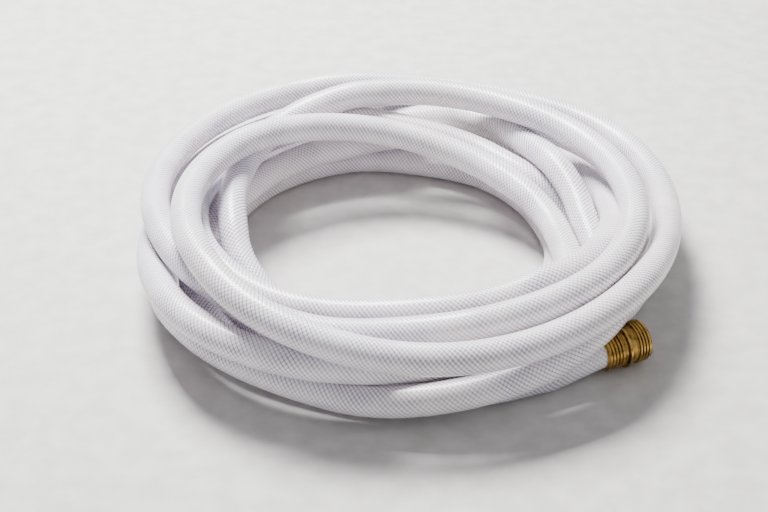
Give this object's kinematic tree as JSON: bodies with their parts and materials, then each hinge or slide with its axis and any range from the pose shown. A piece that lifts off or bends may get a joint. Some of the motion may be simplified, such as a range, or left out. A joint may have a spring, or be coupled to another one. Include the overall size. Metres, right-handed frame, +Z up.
{
  "type": "drinking water hose",
  "caption": "Loose coil of white braid-reinforced drinking water hose with a threaded brass male coupling and a brass swivel coupling.",
  "frame": {"origin": "middle of the coil, on the surface that it lies on", "axes": "+Z up through the coil, +X to the picture's right, +Y away from the picture's camera"},
  "size_m": [0.392, 0.392, 0.08],
  "materials": {
    "hose_vinyl": "white semi-gloss vinyl over a fine braid",
    "aged_brass": "aged, browned brass, brighter on its ridges",
    "washer_rubber": "black rubber"
  },
  "bodies": {
    "hose": {"hose_coil": "hose_vinyl", "hose_male_end": "hose_vinyl", "hose_female_end": "hose_vinyl", "male_coupling": "aged_brass", "male_ferrule": "aged_brass", "female_stem": "aged_brass", "female_ferrule": "aged_brass"},
    "swivel": {"swivel_nut": "aged_brass", "washer": "washer_rubber"}
  },
  "joints": [
    {"name": "nut_swivel", "type": "hinge", "parent": "hose", "child": "swivel", "pos_m": [0.008, -0.10551, 0.0152], "axis": [-0.9994, 0.0349, 0], "continuous": true}
  ]
}
